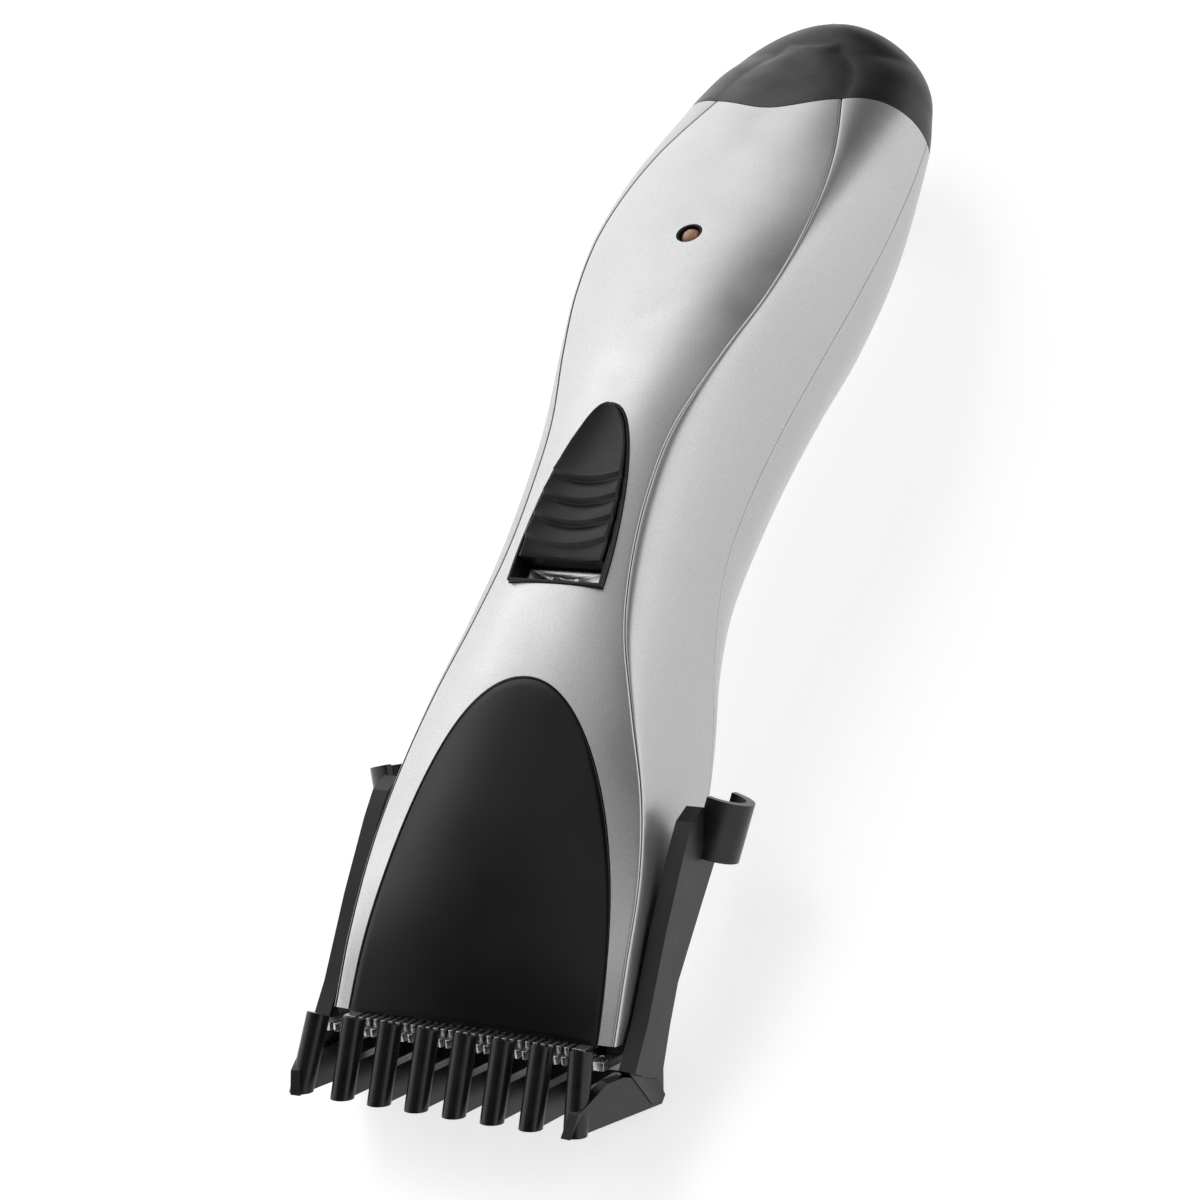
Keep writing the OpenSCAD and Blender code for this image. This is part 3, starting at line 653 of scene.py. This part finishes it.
def cap_ring(y, inset, over=0.0, shift=0.0, shrink=1.0):
    """One section of the cap, set in by a wall and under the cover by `over`."""
    r = row_at(y)
    rise, drop = r[1] - CHARGE_Z, CHARGE_Z - r[6]
    cx = max(r[4] * 0.3, STATIONS[-3][2] * lobe(y))
    cz = r[1] - CREASE_STEP
    crest = cz + max(CREASE_STEP * lobe(y) ** LOBE_POWER, SOFT_CROWN * cx)
    half = [(f * cx, crest - (crest - cz) * f ** CROWN_POWER) for f in fractions(10)]
    half += roll((cx, cz), (r[4], r[5]), 26)[1:]
    for i in range(1, 27):
        a = math.pi / 2 * i / 26
        half.append((r[4] * max(math.cos(a), 0) ** 0.9,
                     r[5] - (r[5] - r[6]) * math.sin(a) ** 0.9))
    half[-1] = (0.0, half[-1][1])
    ring = half + [(-x, z) for x, z in half[-2:0:-1]]
    fx = (r[4] - inset) / r[4] * closing(y, inset, CLOSE_WIDE) * shrink
    up = (rise - inset - over) / rise * closing(y, inset, CLOSE_HIGH) * shrink
    down = (drop - inset) / drop * closing(y, inset, CLOSE_HIGH) * shrink
    out = []
    for x, z in ring:
        x *= fx
        z = CHARGE_Z + (z - CHARGE_Z) * (up if z > CHARGE_Z else down)
        out.append((x * MM, (y - MID_Y + shift + bow(y, x)) * MM, z * MM))
    return out


def tail_cap():
    depth = CAP_L - 1.67
    inner = [cap_ring(CAP_Y + 2 + (depth - 2) * math.sin(math.pi / 2 * f), WALL)
             for f in fractions(10)][::-1]
    lip = [cap_ring(CAP_Y, inset, DECK_T, shift)
           for shift, inset in ((1, 3.3), (-3, 3.3), (-3, 2.5), (0, 2.5))]
    rim = [cap_ring(CAP_Y, 0.22), cap_ring(CAP_Y, 0.06, shift=0.06)]
    outer = [cap_ring(CAP_Y + 0.2 + (CAP_L - 0.45) * math.sin(math.pi / 2 * f) ** 0.9, 0)
             for f in fractions(34)]
    end = [cap_ring(TAIL_Y - 0.1, 0, shrink=0.94), cap_ring(TAIL_Y - 0.1, 0, shift=0.1, shrink=0.86)]
    cap = loft("tail_cap_skin", inner + lip + rim + outer + end, 26)
    to_y = (IN_METRES @ Matrix.Translation((0, -MID_Y, CHARGE_Z))
            @ Matrix.Rotation(math.radians(-90), 4, "X"))
    cut(cap, prism("collar", circle(CHARGE_R + 1, 64), TAIL_Y - 5, TAIL_Y - 0.5, to_y), "UNION")
    cut(cap, prism("bore", circle(CHARGE_R, 64), TAIL_Y - 8, TAIL_Y + 1, to_y))
    weighted(cap, 26)
    return cap


finish_piece(tail_cap(), "housing", "black_satin", "tail_cap")


# ---------------------------------------------------------------- switch
RIDGES = (-8.6, -5.2, -1.8, 1.6)
RIDGE_ARC = 0.034
RIDGE_DEPTH = 0.8
SCOOP_DEPTH = 0.6
KNOB_HIGH, KNOB_BASE = 1.2, -2.35
# Places between two ridges: a long fall from the lower one, then a short wall up to the next
RIDGE_STEPS = (0.06, 0.14, 0.28, 0.42, 0.56, 0.7, 0.8, 0.86, 0.9, 0.95)


def knob_half(y):
    return KNOB_W / 2 * math.sqrt(max(1 - ((y - KNOB_LOW) / KNOB_L) ** 2, 0))


def knob_fall(line):
    """How far the knob's middle lies under its rim, along lines that bow with the ridges."""
    if line >= RIDGES[-1]:
        t = (line - RIDGES[-1]) / (KNOB_LOW + KNOB_L - RIDGES[-1])
        return SCOOP_DEPTH * math.sin(math.pi * min(t * 1.05, 1)) ** 0.8
    if line <= RIDGES[0]:
        return RIDGE_DEPTH * min((RIDGES[0] - line) / 0.5, 1)
    for low, high in zip(RIDGES, RIDGES[1:]):
        if line < high:
            t = (line - low) / (high - low)
            return RIDGE_DEPTH * ((t / 0.84) ** 1.4 if t < 0.84 else (1 - t) / 0.16)
    return 0.0


def knob_lines():
    """Grid lines along the knob, which meet every ridge."""
    lines = [KNOB_LOW + 0.02 + (RIDGES[0] - 0.5 - KNOB_LOW) * k / 5 for k in range(5)]
    lines += [RIDGES[0] - 0.5, RIDGES[0] - 0.25]
    for low, high in zip(RIDGES, RIDGES[1:]):
        lines.append(low)
        lines += [low + (high - low) * t for t in RIDGE_STEPS]
    lines.append(RIDGES[-1])
    top = KNOB_LOW + KNOB_L - 0.02
    lines += [RIDGES[-1] + (top - RIDGES[-1]) * (1 - (1 - k / 48) ** 1.6) for k in range(1, 49)]
    return lines


def knob_row(line, across):
    """Points of one grid line, bowed like the ridges and hollow across."""
    bow_here = RIDGE_ARC * min((line - KNOB_LOW) / 1.6, 1) * min((KNOB_LOW + KNOB_L - line) / 5, 1)
    half = knob_half(line)
    for _ in range(12):
        half = knob_half(line + bow_here * half * half)
    row = []
    for i in range(across + 1):
        u = -1 + 2 * i / across
        u = math.copysign(abs(u) ** 0.8, u)
        x, y = u * half, line + bow_here * (u * half) ** 2
        hollow = 0.42 * (1 - u * u) * min(half / 4, 1)
        near = min(half - abs(x), y - KNOB_LOW)
        rim = 0.3
        edge = 0.0 if near >= rim else rim * (1 - math.sqrt(max(1 - (1 - near / rim) ** 2, 0)))
        fall = knob_fall(line) * (1 - 0.35 * u * u)
        row.append((x, y, KNOB_HIGH - hollow - fall - edge))
    return row


def knob():
    """Teardrop knob on a grid that follows its half-ellipse outline and its ridges."""
    across = 40
    rows = [knob_row(line, across) for line in knob_lines()]
    along = len(rows) - 1
    bm = bmesh.new()
    top = [[bm.verts.new(AT_SWITCH @ Vector(p)) for p in row] for row in rows]
    base = [[bm.verts.new(AT_SWITCH @ Vector((p[0], p[1], KNOB_BASE))) for p in row] for row in rows]
    for j in range(along):
        for i in range(across):
            bm.faces.new((top[j][i], top[j][i + 1], top[j + 1][i + 1], top[j + 1][i]))
            bm.faces.new((base[j][i], base[j + 1][i], base[j + 1][i + 1], base[j][i + 1]))
    edge = ([(0, i) for i in range(across)] + [(j, across) for j in range(along)]
            + [(along, i) for i in range(across, 0, -1)] + [(j, 0) for j in range(along, 0, -1)])
    for k, (j, i) in enumerate(edge):
        jj, ii = edge[(k + 1) % len(edge)]
        bm.faces.new((top[j][i], base[j][i], base[jj][ii], top[jj][ii]))
    obj = new_object("switch_knob_skin", bm, 30)
    stem = prism("stem", [(-1.5, -3.6), (1.5, -3.6), (1.5, 3.6), (-1.5, 3.6)], -5.6, -2.3, AT_SWITCH)
    cut(obj, stem, "UNION")
    shade(obj, 30)
    return obj


finish_piece(knob(), "power_switch", "black_satin", "switch_knob")
finish_piece(bevelled_copy("switch_bezel", "switch_bezel_skin", 0.12), "housing", "black_satin")


def label():
    """Silver strip with a plain bar and dot as its on mark."""
    plate = prism("switch_label_skin", [(-5.6, KNOB_LOW - 2.9), (5.6, KNOB_LOW - 2.9),
                                       (5.6, KNOB_LOW - 0.3), (-5.6, KNOB_LOW - 0.3)],
                  -3.3, -2.6, AT_SWITCH)
    y = KNOB_LOW - 1.6
    bar = [(-2.3, y - 0.45), (-1.9, y - 0.45), (-1.9, y + 0.45), (-2.3, y + 0.45)]
    marks = [circle(0.42, 20, 1.5, y), bar]
    for k, mark in enumerate(marks):
        cut(plate, prism(f"mark_{k}", mark, -2.7, -2.4, AT_SWITCH))
    return plate


finish_piece(label(), "housing", "label_silver", "switch_label")

# ---------------------------------------------------------------- comb, blades and lamp
finish_piece(bevelled_copy("guide_comb", "guide_comb_skin", 0.28, 28, 3), "comb", "comb_black")
finish_piece(bevelled_copy("fixed_blade", "fixed_blade_skin", 0.05), "housing", "blade_steel")
finish_piece(bevelled_copy("moving_blade", "moving_blade_skin", 0.05), "cutter", "cutter_steel")
finish_piece(bevelled_copy("blade_holder", "blade_holder_skin", 0.12), "housing", "black_satin")
finish_piece(bevelled_copy("led_holder", "led_holder_skin", 0.15), "housing", "black_satin")
finish_piece(bevelled_copy("charge_socket", "charge_socket_skin", 0.15), "housing", "black_satin")
finish_piece(bevelled_copy("charge_pin", "charge_pin_skin", 0.2), "housing", "brass_pin")
finish_piece(bevelled_copy("chassis", "chassis_skin", 0.2), "housing", "white_nylon")
finish_piece(bevelled_copy("motor_can", "motor_can_skin", 0.4), "housing", "motor_steel")


def lamp():
    """Round lens with a short stem and its two leads."""
    bm = bmesh.new()
    top = row_at(LED_Y)[1]
    profile = [(LENS_R, 30.0)] + [(LENS_R * math.cos(a), top - 1.4 + LENS_R * math.sin(a))
                                  for a in (math.pi / 2 * k / 14 for k in range(15))]
    rings = []
    for r, z in profile[:-1]:
        rings.append([bm.verts.new((r * math.cos(t) * MM, (LED_Y - MID_Y + r * math.sin(t)) * MM, z * MM))
                      for t in (2 * math.pi * k / 40 for k in range(40))])
    tip = bm.verts.new((0, (LED_Y - MID_Y) * MM, profile[-1][1] * MM))
    for low, high in zip(rings, rings[1:]):
        for i in range(40):
            j = (i + 1) % 40
            bm.faces.new((low[i], low[j], high[j], high[i]))
    for i in range(40):
        bm.faces.new((rings[-1][i], rings[-1][(i + 1) % 40], tip))
    bm.faces.new(rings[0][::-1])
    body = new_object("led_skin", bm)
    for x in (-0.8, 0.8):
        lead = [(x - 0.25, LED_Y - MID_Y - 0.25), (x + 0.25, LED_Y - MID_Y - 0.25),
                (x + 0.25, LED_Y - MID_Y + 0.25), (x - 0.25, LED_Y - MID_Y + 0.25)]
        cut(body, prism("lead", lead, 25.9, 30.1, IN_METRES), "UNION")
    shade(body, 40)
    return body


finish_piece(lamp(), "housing", "amber_lens", "led")


# ---------------------------------------------------------------- stage and light
def floor():
    bm = bmesh.new()
    reach = 3.0
    for x, y in ((-reach, -reach), (reach, -reach), (reach, reach), (-reach, reach)):
        bm.verts.new((x, y, 0))
    bm.faces.new(bm.verts)
    obj = new_object("floor", bm)
    s = Shader("floor_paint", (0.50, 0.50, 0.50), 0.34, 0.06,
               Emission_Color=(1, 1, 1, 1), Emission_Strength=0.70)
    s.vary_roughness(s.noise(18, 3), 0.30, 0.38)
    obj.data.materials.append(s.material)


def light(name, place_at, aim, size, power):
    data = bpy.data.lights.new(name, "AREA")
    data.shape = "RECTANGLE"
    data.size, data.size_y = size
    data.energy = power
    obj = bpy.data.objects.new(name, data)
    bpy.context.scene.collection.objects.link(obj)
    obj.location = place_at
    direction = Vector(aim) - Vector(place_at)
    obj.rotation_euler = direction.to_track_quat("-Z", "Y").to_euler()


# Dark flags over the set: direction, the cosines where each starts and is darkest, and its shade
FLAGS = (((0.15, 0.50, 0.85), 0.80, 0.95, 0.02),
         ((0.10, -0.45, 0.89), 0.52, 0.85, 0.02),
         ((0.15, 0.985, -0.05), 0.78, 0.88, 0.02))
STUDIO_STRENGTH = 1.4


def world():
    """A white studio with soft dark flags: overhead, over the nose and low behind the tail."""
    w = bpy.data.worlds.new("studio")
    bpy.context.scene.world = w
    w.use_nodes = True
    tree = w.node_tree
    source = tree.nodes.new("ShaderNodeTexCoord")
    shade_so_far = None
    for direction, start, full, dark in FLAGS:
        dot = tree.nodes.new("ShaderNodeVectorMath")
        dot.operation = "DOT_PRODUCT"
        dot.inputs[1].default_value = direction
        tree.links.new(source.outputs["Generated"], dot.inputs[0])
        ramp = tree.nodes.new("ShaderNodeMapRange")
        ramp.interpolation_type = "SMOOTHSTEP"
        for key, value in (("From Min", start), ("From Max", full), ("To Min", 1.0), ("To Max", dark)):
            ramp.inputs[key].default_value = value
        tree.links.new(dot.outputs["Value"], ramp.inputs["Value"])
        if shade_so_far is None:
            shade_so_far = ramp.outputs["Result"]
            continue
        darker = tree.nodes.new("ShaderNodeMath")
        darker.operation = "MINIMUM"
        tree.links.new(shade_so_far, darker.inputs[0])
        tree.links.new(ramp.outputs["Result"], darker.inputs[1])
        shade_so_far = darker.outputs["Value"]
    background = tree.nodes["Background"]
    tree.links.new(shade_so_far, background.inputs["Color"])
    background.inputs["Strength"].default_value = STUDIO_STRENGTH


floor()
light("key", (-0.5, 0.2, 1.3), (0, 0, 0.02), (1.6, 1.6), 4)
world()
bpy.context.scene.view_settings.view_transform = "Standard"
